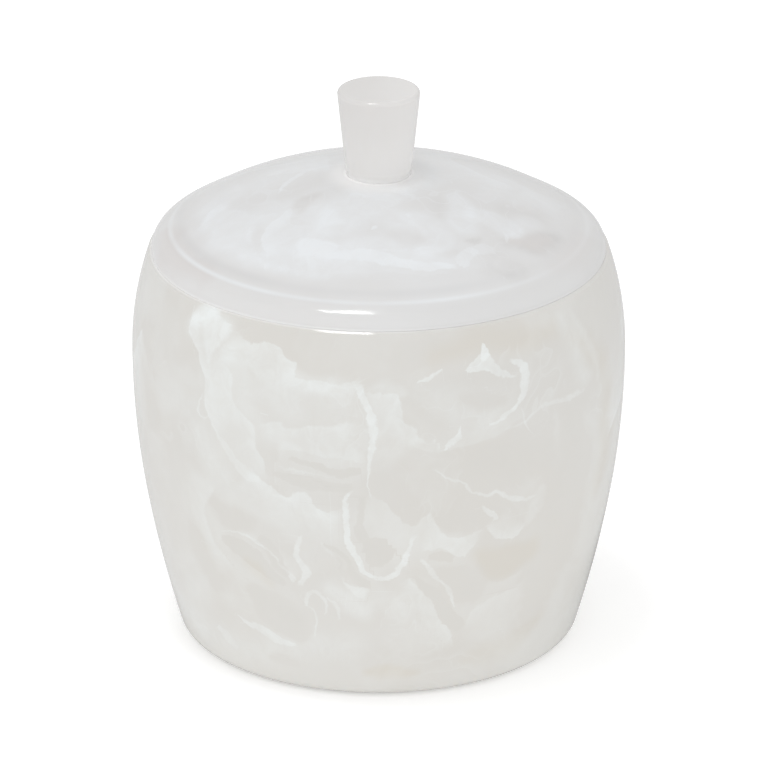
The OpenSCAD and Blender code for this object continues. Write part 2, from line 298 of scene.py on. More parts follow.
JAR_VEILS = [
    # Big cloud under the lid, left of the front, and its branches
    sheet(0.60, 8, [(-37, 86), (-32, 83), (-26, 83.5), (-23, 82), (-20, 82), (-19, 79),
        (-15, 78.5), (-9, 77), (-6, 78), (-4, 79.5)]),
    ribbon(0.35, [1, 3, 2.5, 1], [(-34, 80), (-27, 77.5), (-20, 77), (-14, 75.5), (-7, 74)], 2.5),
    sheet(0.60, 6, [(-39, 60), (-43, 64), (-45, 68), (-45, 72), (-46, 76), (-48, 79), (-51, 81),
        (-51, 84), (-50, 88)], 0.6),
    ribbon(0.58, [4.5, 4, 2, 0.5], [(-43, 87.5), (-43, 84), (-43, 80), (-42, 76)], 1.5),
    sheet(0.50, 4, [(-39, 79), (-36, 75), (-35, 70), (-33, 68), (-30, 66), (-29, 62), (-28, 60),
        (-27, 58), (-26, 55), (-24, 53)], 0.6),
    ribbon(0.40, [0.2, 0.6, 0.2], [(-45, 70), (-45.5, 66), (-44, 64), (-42, 65.5)]),
    ribbon(0.30, [0.3, 0.9, 1.4, 0.8], [(-42, 63), (-38, 60), (-36, 58.5), (-34, 56), (-31, 54),
        (-27, 52.5)]),
    # Soft tier below it, with a straight lower edge and a thin line under that
    sheet(0.50, 8, [(-30, 66), (-26, 68), (-22, 68.5), (-21, 67), (-16, 67.5), (-12, 67.3),
        (-8, 69), (-5, 70)], 0.8),
    sheet(0.30, 4, [(-2, 60), (-6, 60), (-10, 60.3), (-14, 60.5), (-18, 60.7), (-22, 60.5),
        (-26, 61)]),
    ribbon(0.35, [0.3, 0.6, 0.4, 0.2], [(-24, 57), (-20, 56.2), (-15, 56.3), (-10, 56.6)], 0.6),
    ribbon(0.60, [0.3, 0.3], [(-29, 69), (-27, 69), (-25.5, 69)]),
    # Upright ribbon, and the cloud on its right
    ribbon(0.68, [0.8, 1.0, 0.9, 0.7, 0.4, 0.3], [(-5.2, 77), (-3.7, 74), (-2.4, 71), (-0.9, 68),
        (-0.2, 66), (-1.1, 63), (-2.2, 60), (-2.6, 56), (-2.8, 51)]),
    sheet(0.60, 7, [(-5, 75.6), (0, 76.4), (4, 76.2), (5, 73), (6, 69.5), (8, 68), (9, 66),
        (11.5, 63.5)]),
    sheet(0.22, 5, [(38, 67), (33, 65), (28, 63.5), (24, 63.3), (20, 62.3), (15, 61.8), (10, 61.8),
        (4, 64.5)], 0.6),
    ribbon(0.60, [0.2, 0.7, 0.7, 0.2], [(18.3, 67.5), (18.3, 65.5), (17.3, 63.6), (14.5, 61.8)]),
    # Feathery line rising to the right
    ribbon(0.35, [0.2, 0.5, 0.8, 1.0, 0.4], [(25, 64), (31, 64.5), (35.5, 65.2), (39, 66.7),
        (44, 67), (50, 67.7), (56, 67)], 0.7),
    ribbon(0.25, [0.8, 2.5, 1.0], [(45, 67), (45.5, 61), (46, 54)], 2),
    ribbon(0.30, [0.3, 0.5, 0.2], [(35, 69.5), (35.7, 66), (38, 60.5)]),
    # Comma and arc, upper right, with a small stroke beside them
    ribbon(0.66, [0.3, 1.6, 1.4, 1.1, 0.6, 0.2], [(20.5, 78), (23, 79.4), (25.5, 80.3),
        (28.5, 78.3), (31.5, 77), (34, 76.6)]),
    ribbon(0.75, [0.3, 1.2, 1.2], [(24, 83.7), (25, 82), (25.8, 80)]),
    ribbon(0.62, [0.4, 1.4, 1.1, 0.7, 0.7, 0.4], [(31.5, 80.5), (34.3, 79), (36, 76.5),
        (36.3, 73.8), (35.6, 71.5), (33, 69.4), (30.6, 68.3), (28.5, 67), (25, 66.8)]),
    ribbon(0.75, [0.2, 0.7, 0.3], [(9, 77.2), (10.3, 78.5), (12.8, 79.4), (15.5, 80)]),
    ribbon(0.25, [1.0, 2.2, 1.5], [(53, 86), (57, 80), (60, 74), (61, 67)], 2),
    # Middle clouds
    sheet(0.60, 6, [(-31, 56.5), (-26, 52.4), (-23, 50.2), (-21, 50), (-19.5, 51.7), (-17, 52.3),
        (-15.4, 51.6), (-14, 49.7), (-12, 48.6), (-7.5, 49.2)]),
    ribbon(0.60, [0.4, 0.8, 0.9, 0.9, 0.7, 0.7, 0.6], [(-6, 54.5), (-7, 51.5), (-7.2, 47),
        (-7, 43), (-7, 38), (-5.5, 35.8), (-4, 33.7), (-2, 32.5), (0, 32.3), (2.5, 32.7),
        (4.5, 34.2), (6.5, 37), (8, 40), (8.8, 43)]),
    sheet(0.40, 4, [(-3.5, 53), (0, 50.3), (3, 48.3), (5.5, 46.5), (8, 45), (9.6, 47), (10.6, 49),
        (11.8, 47.5), (13, 46), (15, 44), (16.6, 41.6), (19, 40.6), (22, 41), (26.5, 41.3)]),
    sheet(0.45, 4, [(25.5, 39.5), (23.5, 37), (22, 35), (19, 35.5), (15, 37.5), (10, 38)]),
    sheet(0.50, 3.5, [(37.5, 41), (36, 39.5), (34, 38), (30, 38.3), (27, 39.5), (24.5, 42)]),
    ribbon(0.45, [0.4, 1.0, 0.6], [(24.8, 47.5), (26, 45.2), (28, 43)]),
    ribbon(0.25, [1.5, 4, 3], [(36, 40), (40, 44), (44, 49)], 3),
    ribbon(0.42, [0.3, 0.6, 0.5, 0.7, 0.9, 0.4], [(12, 58), (16, 56), (20, 54.3), (21.7, 51.4),
        (25.5, 49.7), (29, 49.5), (31, 48.2), (35.5, 47), (41, 47.6)], 0.5),
    # Lower left: a thin arc round a dark lens, streaks and curls
    ribbon(0.42, [0.3, 0.4, 0.5, 0.5, 0.7], [(-41, 38), (-36, 38.2), (-31.4, 37.7), (-27.5, 36),
        (-24.2, 34), (-22.3, 31.8), (-20.7, 29)]),
    sheet(0.28, 4, [(-20.7, 29), (-22.3, 31.8), (-24.2, 34), (-27.5, 36), (-31.4, 37.7),
        (-36, 38.2)], 0.8),
    sheet(0.32, 7, [(-41, 50), (-43, 45), (-44.5, 40), (-43.5, 36), (-41.5, 32),
        (-38, 28.5)], 1.0),
    ribbon(0.50, [0.8, 1.0, 1.3, 0.8], [(-20, 42), (-19.5, 37), (-18, 34), (-17.8, 31),
        (-20, 28)], 0.6),
    ribbon(0.40, [0.5, 0.9, 1.2, 1.8], [(-14.5, 40), (-11.5, 37), (-9, 34.4), (-7.6, 31.6),
        (-5.5, 28.7), (-2.5, 27.4)], 0.7),
    ribbon(0.42, [0.3, 0.9, 1.6, 1.4, 0.6], [(-40, 17.8), (-36, 16.3), (-33, 15.5), (-31, 14.5),
        (-28.5, 13), (-25.5, 12.3), (-21, 12)], 0.5),
    ribbon(0.30, [1.0, 1.8, 0.8], [(-49.5, 11.5), (-46, 9.5), (-43, 7.5)], 0.8),
    ribbon(0.40, [0.3, 0.6, 0.4], [(-18, 23.5), (-16.8, 19.5), (-16.5, 14.5)], 0.5),
    ribbon(0.40, [0.5, 0.8, 0.7, 0.4], [(-19.5, 22.5), (-17.5, 26), (-14.8, 26.3), (-13.3, 24),
        (-15, 21)], 0.5),
    ribbon(0.35, [0.5, 0.9, 0.5], [(-13, 25.5), (-10.5, 23.5), (-10, 20)], 0.6),
    # Lower right: a fan, and the streak beside it
    sheet(0.42, 6, [(3.5, 31.4), (8, 31.3), (10.3, 28), (13.5, 24), (17, 20.5), (19.5, 17.3),
        (21, 12)]),
    ribbon(0.42, [0.5, 0.8, 0.6, 0.8, 0.4], [(9.5, 36.5), (12.8, 32.4), (15, 29.6), (17.3, 26.5),
        (20, 23)], 0.5),
    sheet(0.25, 6, [(22.5, 16), (23, 20), (24.5, 22.8), (28, 23.5), (33, 24.5), (38, 25.5),
        (43, 27)], 0.8),
    # Clear lenses and channels with crisp borders
    clearing(0.60, [0.8, 1.4, 1.6, 1.2], [(-25, 55), (-18, 54.2), (-12, 54), (-6, 54.2)], 0.7),
    clearing(0.85, [0.4, 0.9, 1.2, 1.0], [(-22, 58.6), (-15, 58.2), (-9, 57.8),
        (-3.5, 57.8)], 0.6),
    clearing(0.75, [0.8, 2.4, 3.0, 2.2, 0.8], [(-41, 36.5), (-36.5, 34.8), (-31.5, 33),
        (-27, 30.8), (-23.5, 28.5)], 0.7),
    clearing(0.55, [0.8, 1.8, 1.8, 1.0], [(-29.5, 38.7), (-26, 36), (-24, 33.3),
        (-22.3, 30.5)], 0.7),
    clearing(0.65, [0.6, 1.2, 1.6, 1.8, 1.0], [(-14, 39.7), (-10.5, 37), (-8.2, 33.5), (-5, 30.6),
        (-1.5, 30.2)], 0.5),
    clearing(0.80, [0.7, 1.0, 1.6], [(-4.3, 52), (-4, 46), (-3.2, 40)], 0.6),
    clearing(0.85, [1.8, 3.2, 3.2, 1.8], [(-4, 36.3), (-1.5, 37.5), (1, 38.7), (3.5, 40.5)], 0.6),
    clearing(0.50, [0.6, 1.6, 1.0], [(11, 36.6), (15, 36), (19, 34)], 0.7),
    clearing(0.65, [0.6, 1.5, 1.7, 1.9, 1.4], [(7, 31.8), (11, 28.5), (15, 24.3), (19, 20.3),
        (22.5, 16.8)], 0.6),
    clearing(0.60, [3, 5, 5.3, 4], [(25.5, 35), (30, 33), (35, 32.5), (40, 33)], 1.2),
]

LID_VEILS = [
    # Left lobe of the cloud on the dome, with its crisp left border and the bright spots on it
    sheet(0.70, 12, [(-31, -32.5), (-33.5, -30), (-35.5, -25), (-37, -21.5), (-39.5, -18),
        (-41, -12.5), (-38.5, -7), (-36.5, -3), (-32, -1)], 0.5),
    ribbon(0.40, [0.8, 2.2, 1.4], [(-39, -8.5), (-36.5, -5.5), (-32.5, -5.5)], 1.0),
    ribbon(0.40, [0.3, 0.8, 0.3], [(-28, -16.5), (-27.7, -19.5), (-26.5, -22.5)], 0.5),
    # Middle lobe, crisp on both sides, and the soft mass it stands on
    sheet(0.66, 8, [(-24.5, -31), (-24.8, -24), (-24, -19), (-22, -15.5), (-19.5, -13)], 0.5),
    sheet(0.40, 4, [(-19.3, -13), (-19.2, -17), (-18.2, -20.5), (-15, -21.5)], 0.4),
    # Brightest spot and the band that runs from it along the front of the dome
    sheet(0.45, 5, [(-15.5, -36), (-16.5, -31.5), (-17, -28), (-16.4, -25)], 0.6),
    ribbon(0.75, [1.0, 3.2, 3.4, 2.2], [(-17, -27.5), (-14.5, -28.5), (-12, -29.5),
        (-9, -31.5)], 1.2),
    ribbon(0.80, [0.8, 2.0, 1.9, 1.7, 1.5, 1.2], [(-12, -32), (-5, -33), (0, -34.3), (6, -34.8),
        (12, -35), (16.5, -34.6)], 0.7),
    sheet(0.22, 3, [(17, -37.3), (8, -38.2), (0, -38.4), (-6, -38.8), (-11, -38.2),
        (-14.5, -36.5)], 0.6),
    # Bright specks between the band and the knob
    ribbon(0.35, [0.3, 0.3], [(-11.7, -7.7), (-10.5, -7.7), (-9.7, -7.9)]),
    ribbon(0.35, [0.3, 0.3], [(-7.5, -7), (-6.5, -6.9), (-5.7, -7)]),
    ribbon(0.40, [0.8, 1.2, 0.8], [(-3.2, -12.3), (-1.8, -12.4), (-0.4, -12.3)], 0.5),
    ribbon(0.65, [0.3, 0.9, 0.3], [(-2.2, -26), (-1.7, -24.9), (-1.3, -23.5)], 0.5),
    # Curl at the band's right end, and the hooks above it
    ribbon(0.45, [0.8, 1.8, 1.6, 1.0], [(16.5, -34.5), (17.8, -31.5), (19.5, -30),
        (22, -29.5)], 0.5),
    ribbon(0.35, [0.8, 2.0, 1.2], [(20, -31), (23, -27.5), (25.8, -26.8)], 0.6),
    ribbon(0.35, [0.3, 0.6, 0.3], [(6.5, -31), (9, -30), (12.5, -29.2)]),
    ribbon(0.30, [0.4, 0.8, 0.4], [(-1.5, -33), (2, -32), (6, -30.8)], 0.5),
    # Hooks on the right
    ribbon(0.40, [0.3, 0.8, 0.3], [(26, -19.5), (27.5, -21.5), (28.5, -24)]),
    ribbon(0.40, [0.2, 0.4, 0.2], [(35, -19.5), (37.5, -20.3), (40, -20.6)]),
    ribbon(0.45, [0.3, 0.6, 0.3], [(31.3, -27.8), (32.4, -28.3), (32.8, -29.5)], 0.5),
]

# Softer, wider changes of tone: a cloud has more pigment than what is round it, a window has less,
# and a tint is brown. One cloud and one window on the lid are painted light and painted shade
# instead. Width is half the width, from end to end, and edge is half of how far the
# border takes to fade, in mm.
def cloud(strength, width, points, edge=3):
    return Veil(points, strength, 0, width, edge)


def window(strength, width, points, edge=1.5):
    return Veil(points, -strength, 0, width, edge)


def tint(strength, width, points, edge=2):
    return Veil(points, strength, 0, width, edge)


JAR_CLOUDS = [
    # Under the lid, left
    cloud(0.45, [1.6, 2.4, 2], [(-50, 82), (-47.5, 85.5), (-43, 86.5)], 1.5),
    cloud(0.15, [2.5, 2.5, 2], [(-35, 80), (-32, 72), (-29, 64)]),
    cloud(0.45, [1.0, 1.6, 1.0], [(-21, 79.3), (-14, 77.3), (-6, 76)], 1.2),
    cloud(0.15, [1.5, 2.5, 2], [(1, 73.5), (5, 71), (8, 67.5)], 1.5),
    cloud(0.35, [1, 1.6, 1], [(-1, 76.6), (2, 76.6), (5, 76)], 1),
    cloud(0.35, [2, 3, 2], [(-46, 59), (-42, 54), (-38, 51)], 2.5),
    cloud(0.42, [1.6, 2.2, 1.6], [(-40, 86), (-38, 82.5), (-37, 79)], 1.5),
    cloud(0.60, [1.0, 1.5, 1.0], [(-49.5, 84.3), (-47.5, 86.3), (-44, 87.3)], 1),
    window(0.60, [3, 5, 3], [(-71, 75), (-69, 66), (-67, 58)], 4),
    window(0.20, [2, 3, 2], [(-27, 70), (-20, 65.5), (-10, 63.5)], 2),
    # Under the lid, right
    window(0.40, [1.5, 2.5, 2.5, 1.5], [(6, 84), (14, 85), (24, 85.5), (36, 85)], 2),
    cloud(0.25, [3, 4, 3], [(10, 76), (16, 72), (26, 68)], 3),
    cloud(0.30, [1.5, 2.2, 2.2], [(50, 85), (53, 79), (55, 71)], 2.5),
    window(0.30, [1, 1.8, 1], [(20, 72.5), (25, 71.5), (30, 72)], 1.2),
    window(0.40, [3, 5, 3], [(25, 58), (33, 57), (42, 57)], 3),
    # Clear lens low on the left, with more clear patches round it
    window(0.60, [1.5, 3.5, 4, 2], [(-33, 25), (-29, 22), (-25, 19), (-20.5, 15.5)]),
    window(0.40, [1.5, 3, 2], [(-42, 45), (-38, 42.5), (-33, 41)], 1.5),
    window(0.35, [2, 3.5, 2], [(-31, 41), (-27, 39.5), (-22, 38)], 2),
    window(0.35, [2, 3, 2], [(-51, 35), (-49, 29), (-45, 23)], 2),
    window(0.35, [0.6, 1.2, 0.6], [(-31, 7.6), (-28, 7.5), (-24, 7)], 1),
    # Round the hooked line in the middle
    cloud(0.18, [1.5, 2, 1.5], [(-20, 50), (-15, 48), (-10, 47)], 1.5),
    cloud(0.35, [2, 3, 2], [(-11, 28), (-8, 26), (-3, 24)], 2),
    cloud(0.20, [2, 3, 2], [(1, 27), (4, 25), (6, 22)], 2),
    # Clear channels on the right of it
    window(0.40, [1.2, 3, 3], [(15.5, 32), (19.5, 29.3), (23, 27.5)]),
    window(0.30, [1.5, 3, 1.5], [(14, 46), (18, 45), (22, 44)], 2),
    window(0.30, [2, 4, 3], [(-1, 55), (2, 51), (6, 48)], 2.5),
    # Along the foot
    cloud(0.25, [3, 4, 4, 3], [(-66, 9), (-40, 7), (-20, 13), (-8, 14)], 4),
    cloud(0.20, [3, 4, 3], [(-74, 16), (-66, 11), (-58, 7)], 3),
    window(0.15, [3, 4.5, 3], [(0, 9), (9, 11), (17, 13)], 3),
    # Down the right side
    window(0.45, [5, 7, 5], [(48, 60), (50, 40), (42, 17)], 5),
    window(0.30, [2, 3, 2], [(67, 62), (68, 52), (67, 42)], 3),
]

JAR_TINTS = [
    tint(0.7, [2, 4, 4.5, 3], [(26.5, 35), (30, 33), (35, 32.5), (39, 33)], 1.5),
    tint(1.0, [0.8, 1.7, 1.6, 0.6], [(-3, 6.6), (2, 6.6), (7, 6.8), (10.5, 7.2)], 0.9),
    tint(0.6, [2, 3, 3, 2], [(14, 83), (24, 84.5), (34, 84), (46, 83)], 2.5),
    tint(0.5, [1.5, 3, 3, 1.5], [(24, 8), (32, 9), (40, 10), (47, 14)], 2),
    tint(0.5, [1.5, 3, 3], [(52, 80), (58, 76), (64, 70)], 3),
    tint(0.5, [2, 3.5, 2.5], [(66, 64), (67, 54), (66, 42)], 3),
    tint(0.6, [1, 2, 1], [(-34, 31), (-31, 30), (-29, 28)], 1.5),
]

LID_CLOUDS = [
    cloud(0.20, [3, 6, 6, 3], [(-34, -6), (-33, -13), (-29, -21), (-26, -31)]),
    cloud(0.45, [3, 5, 5, 4], [(-30, -28), (-22, -31), (-14, -33), (-6, -35)]),
    cloud(0.50, [1.2, 2.2, 2.0, 1.0], [(-34, -27), (-28, -32), (-20, -36), (-12, -38)], 1.2),
    cloud(0.40, [2, 3.5, 3.5, 2], [(-16, -30), (-6, -31), (6, -32), (15, -33)], 2),
    cloud(0.50, [3, 6, 6, 5, 3], [(-13, -25), (-7, -19), (-2, -15), (2, -19), (5, -24)]),
    cloud(0.35, [2, 4, 3], [(-4, -10), (1, -10), (5, -12)], 2.5),
    cloud(0.50, [4, 8, 6], [(-38, -1), (-26, 6), (-12, 9)], 6),
    # Painted light: lifts the shade on the dome right of the knob's foot.
    cloud(0.50, [2, 3.5, 2], [(10, 6), (11, -2), (5, -9)], 2.5),
    cloud(0.35, [3, 4, 3], [(-24, -12), (-16, -16), (-11, -21)], 3),
    cloud(0.30, [2, 4, 4, 2], [(14, 12), (22, 9), (30, 5), (36, 1)], 3),
    cloud(0.40, [2, 3.4, 3.6, 2.5], [(6, -21), (10.5, -22), (12.5, -26), (10, -31)], 1.2),
    cloud(0.42, [2, 3.2, 3.6, 3], [(17, -10.5), (17.5, -14), (18, -18), (18.5, -21)], 1.5),
    cloud(0.42, [2, 3.4, 3.4, 2], [(20, -15), (24, -15.5), (27, -18), (29, -22)], 1.2),
    cloud(0.32, [1.5, 3, 2], [(28.5, -20), (31, -16), (34, -11.5)], 1.5),
    cloud(0.15, [3, 5, 3], [(25, -4), (31, -2), (34, -4)], 3),
    window(0.50, [1.2, 2.2, 2.0, 1.0], [(-18.6, -18.5), (-17.5, -14.5), (-15, -11.5),
        (-13, -10)], 1.0),
    window(0.40, [0.5, 1.2, 0.8], [(-26.5, -17), (-25.5, -20.5), (-25.6, -24)], 0.8),
    window(0.35, [1, 2.2, 1.4], [(2.5, -27), (5.5, -27.7), (8.5, -28)], 1.2),
    window(0.25, [0.6, 1.3, 0.6], [(12, -31.8), (14.5, -31.2), (16.5, -29.8)], 0.6),
    window(0.50, [0.5, 1.2, 0.6], [(19, -26.3), (21, -25.8), (22.2, -24.3)], 0.6),
    window(0.72, [1.4, 2.6, 2.4, 1.2], [(28.5, -23.2), (31.5, -21.3), (35.3, -17.3),
        (39, -13)], 1.8),
    window(0.30, [2, 4, 3], [(28, -10), (33, -8), (37, -4)], 3),
    window(0.20, [1.2, 2.4, 1.6], [(12.5, -12), (13.5, -17.5), (12.5, -20)], 1.5),
    window(0.40, [2, 3, 2], [(23, -33), (27, -31), (31, -30)], 2.0),
    # Painted shade: darkens along the valley ring on the left and front left.
    window(0.60, [1.2, 2.0, 2.0, 1.2], [(-43.5, -10), (-41.5, -18), (-37.5, -25),
        (-32, -31.5)], 1.3),
]

LID_TINTS = [
    tint(1.0, [2, 3, 3, 2], [(-46, -2), (-45, -12), (-42, -21), (-37, -28)], 2),
    tint(0.5, [2, 3, 2], [(38, -24), (43, -16), (45, -7)], 2.5),
    tint(0.8, [1.2, 2.2, 1.2], [(29, -22.5), (32.5, -20.3), (36.5, -16)], 1.5),
]


def wandering_veils(seed, count, place, step, turn=0.5, size=9):
    """More veils of the same kinds for the sides that have none, along lines that wander from a
    random place, a step at a time."""
    rng = random.Random(seed)
    made = []
    for _ in range(count):
        point = place(rng)
        heading = rng.uniform(0, 2 * math.pi)
        bend = rng.uniform(-turn, turn)
        points = [point]
        for _ in range(rng.randint(4, 8)):
            heading += bend + rng.uniform(-0.2, 0.2)
            point = (point[0] + step[0] * math.cos(heading), point[1] + step[1] * math.sin(heading))
            points.append(point)
        strength = rng.uniform(0.3, 0.8)
        if rng.random() < 0.5:
            fade = rng.uniform(0.4, 1.0) * size
            made.append(sheet(strength, fade, points, rng.uniform(0.4, 0.9)))
        else:
            wide = rng.uniform(0.4, 1.5)
            made.append(ribbon(strength, [0.3, wide, wide * rng.uniform(0.5, 1.2), 0.3], points))
    return made


def jar_places(rng):
    """A place on the jar's back and sides, in degrees and mm up."""
    return (rng.uniform(74, 286), rng.uniform(10, 82))


def lid_places(rng):
    """A place on the back half of the dome, in mm right and back."""
    return (rng.uniform(-32, 32), rng.uniform(0, 34))


JAR_VEILS += wandering_veils(11, 46, jar_places, (5.5, 4.8))
LID_VEILS += wandering_veils(5, 14, lid_places, (4.5, 4.5))

LAYERS = 8
MEAN_R = 50  # mm, the jar's mean radius, which turns degrees into mm
NO_VEIL = (-9.0, 0, 0.5, 1, 9)  # mm inside the edge, strength, edge softness, half width, fade
OUTSIDE = 1.2  # mm over which a veil's claim to its layer falls off outside its edge
SHEET_ENDS, RIBBON_ENDS = 0.14, 0.05  # share of its length over which a veil fades at its ends


def smooth_line(points, parts=5):
    """A Catmull-Rom curve through the points."""
    p = np.array(points, float)
    p = np.vstack([2 * p[0] - p[1], p, 2 * p[-1] - p[-2]])
    out = []
    for a, b, c, d in zip(p, p[1:], p[2:], p[3:]):
        for i in range(parts):
            t = i / parts
            bend = 2 * a - 5 * b + 4 * c - d + t * (3 * (b - c) + d - a)
            out.append(b + 0.5 * t * (c - a + t * bend))
    out.append(p[-2])
    return np.array(out)


def along(line, spots):
    """Each spot's distance from the line, positive on its right, and its place along it, 0 to 1."""
    best = np.full(len(spots), 1e9)
    signed = np.zeros(len(spots))
    where = np.zeros(len(spots))
    lengths = np.linalg.norm(np.diff(line, axis=0), axis=1)
    starts = np.concatenate([[0], np.cumsum(lengths)])
    ways = np.diff(line, axis=0) / lengths[:, None]
    bends = np.vstack([ways[:1], ways[:-1] + ways[1:], ways[-1:]])
    for a, way, length, start, bend_a, bend_b in zip(line, ways, lengths, starts, bends, bends[1:]):
        rel = spots - a
        t = np.clip(rel @ way, 0, length)
        gap = rel - t[:, None] * way
        dist = np.hypot(gap[:, 0], gap[:, 1])
        near = dist < best
        best[near] = dist[near]
        # At a corner, the two stretches that meet there share their mean direction.
        facing = np.where((t <= 0)[:, None], bend_a, np.where((t >= length)[:, None], bend_b, way))
        side = facing[:, 1] * gap[:, 0] - facing[:, 0] * gap[:, 1]
        signed[near] = np.where(side[near] > 0, dist[near], -dist[near])
        where[near] = (start + t[near]) / starts[-1]
    return signed, where


def eased(x):
    x = np.clip(x, 0, 1)
    return x * x * (3 - 2 * x)


def near_spots(spots, veil, reach, scale, wrap):
    """Which spots lie near a veil, how far on its right they are and how far along it."""
    line = smooth_line(veil.points)
    here = spots.copy()
    if wrap:
        middle = line[:, 0].mean()
        here[:, 0] = (here[:, 0] - middle + 180) % 360 - 180 + middle
    here, line = here * scale, line * scale
    rows = np.flatnonzero(((here > line.min(0) - reach) & (here < line.max(0) + reach)).all(1))
    x, y = here[rows].T
    # A slow wobble keeps the curves from looking drawn.
    wobble = np.stack([
        0.5 * np.sin(y / 3.1 + x / 7.3) + 0.3 * np.sin(y / 1.7 - x / 2.9),
        0.5 * np.sin(x / 3.7 - y / 6.1) + 0.3 * np.sin(x / 1.9 + y / 2.3),
    ], 1)
    signed, where = along(line, here[rows] + wobble)
    return rows, signed, where, np.interp(where, np.linspace(0, 1, len(veil.width)), veil.width)


def cloud_field(spots, clouds, scale, wrap):
    """Sum of the clouds, less the windows, or of the tints, at each spot."""
    total = np.zeros(len(spots))
    for cloud_ in clouds:
        reach = max(cloud_.width) + cloud_.edge
        rows, signed, _, width = near_spots(spots, cloud_, reach, scale, wrap)
        total[rows] += cloud_.strength * eased((width - np.abs(signed)) / (2 * cloud_.edge) + 0.5)
    return total


def veil_fields(spots, veils, scale, wrap):
    """Each veil at each spot, shared out over layers so that veils in one layer hardly overlap.
    A layer holds for each spot what NO_VEIL lists."""
    layers = [np.tile(NO_VEIL, (len(spots), 1)) for _ in range(LAYERS)]
    most = [np.zeros(len(spots)) for _ in range(LAYERS)]
    next_most = [np.zeros(len(spots)) for _ in range(LAYERS)]
    for veil in veils:
        one_sided = veil.fade != NO_FADE
        reach = 3 * veil.fade if one_sided else max(veil.width) + 3
        rows, signed, where, width = near_spots(spots, veil, reach, scale, wrap)
        if not len(rows):
            continue
        inside = signed if one_sided else signed + width
        ends = SHEET_ENDS if one_sided else RIBBON_ENDS
        strength = veil.strength * eased(where / ends) * eased((1 - where) / ends)
        if one_sided:
            beyond = np.maximum(signed / veil.fade, -signed / OUTSIDE)
            strength *= eased((reach - signed) / (0.5 * reach))
        else:
            beyond = np.maximum(np.abs(signed) - width, 0) / OUTSIDE
        strength *= eased((3.2 - beyond) / 1.2)  # gone where its claim is past noticing
        weight = np.abs(strength) * np.exp(-beyond)
        k = min(range(LAYERS), key=lambda i: np.minimum(weight, most[i][rows]).sum())
        wins = weight > most[k][rows]
        next_most[k][rows] = np.where(wins, most[k][rows], np.maximum(next_most[k][rows], weight))
        most[k][rows[wins]] = weight[wins]
        edge, fade = (np.full(len(rows), v) for v in (veil.edge, veil.fade))
        layers[k][rows[wins]] = np.stack([inside, strength, edge, width, fade], 1)[wins]
    for layer, first, second in zip(layers, most, next_most):
        # Where two veils of a layer meet, both thin out to nothing.
        layer[:, 1] *= eased((first - second) / (0.5 * first + 1e-6))
    return layers


def add_veils(piece, veils, clouds, tints, spots, scale, wrap):
    """Stores the veils on the piece's points, two vectors a layer, and one vector with the clouds
    and the tints, for its material to read."""
    for k, layer in enumerate(veil_fields(spots, veils, scale, wrap)):
        for part, columns in (("line", layer[:, :3]), ("form", layer[:, 3:])):
            values = np.zeros((len(layer), 3), np.float32)
            values[:, : columns.shape[1]] = columns
            attribute = piece.data.attributes.new(f"veil_{k}_{part}", "FLOAT_VECTOR", "POINT")
            attribute.data.foreach_set("vector", values.ravel())
    values = np.zeros((len(spots), 3), np.float32)
    values[:, 0] = cloud_field(spots, clouds, scale, wrap)
    values[:, 1] = cloud_field(spots, tints, scale, wrap)
    attribute = piece.data.attributes.new("clouds", "FLOAT_VECTOR", "POINT")
    attribute.data.foreach_set("vector", values.ravel())


def points_of(piece):
    flat = np.empty(len(piece.data.vertices) * 3)
    piece.data.vertices.foreach_get("co", flat)
    return flat.reshape(-1, 3)


# -------------------- materials

RAMP_SOCKETS = ("Value", "From Min", "From Max", "To Min", "To Max")


